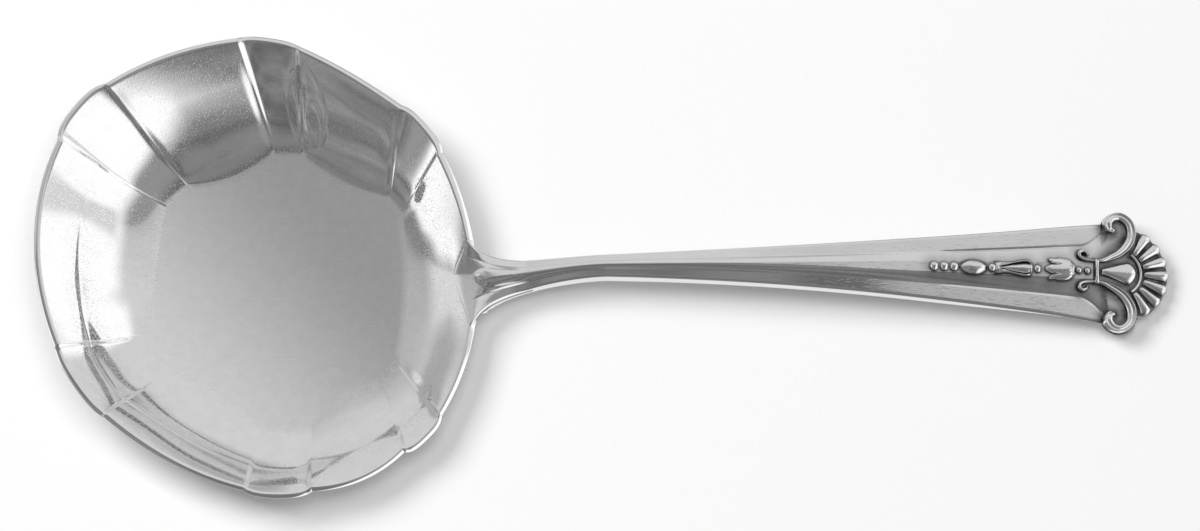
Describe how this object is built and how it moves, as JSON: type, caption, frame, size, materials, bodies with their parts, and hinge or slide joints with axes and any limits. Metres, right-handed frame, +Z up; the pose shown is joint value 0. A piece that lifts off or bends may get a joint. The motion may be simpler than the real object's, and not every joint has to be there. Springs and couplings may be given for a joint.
{
  "type": "bonbon spoon",
  "caption": "Silver bonbon spoon with a round fluted bowl, a flared handle soldered to its back, and beads, scrolls and a palmette on the handle's end.",
  "frame": {"origin": "middle of the flat under the bowl, on the table", "axes": "+X along the handle from the bowl to the tip, +Y to the left seen from the bowl, +Z up"},
  "size_m": [0.1275, 0.0533, 0.01],
  "materials": {
    "bowl_silver": "polished silver with fine scratches",
    "handle_silver": "polished silver, softly worn",
    "ornament_silver": "polished silver with dark recesses"
  },
  "bodies": {
    "root": {"bowl": "bowl_silver", "handle": "handle_silver", "round_beads": "ornament_silver", "oval_bead": "ornament_silver", "husk_drop": "ornament_silver", "bellflower": "ornament_silver", "left_scroll": "ornament_silver", "right_scroll": "ornament_silver", "scroll_collar": "ornament_silver", "boss": "ornament_silver", "boss_arch": "ornament_silver", "palmette": "ornament_silver"}
  },
  "joints": []
}
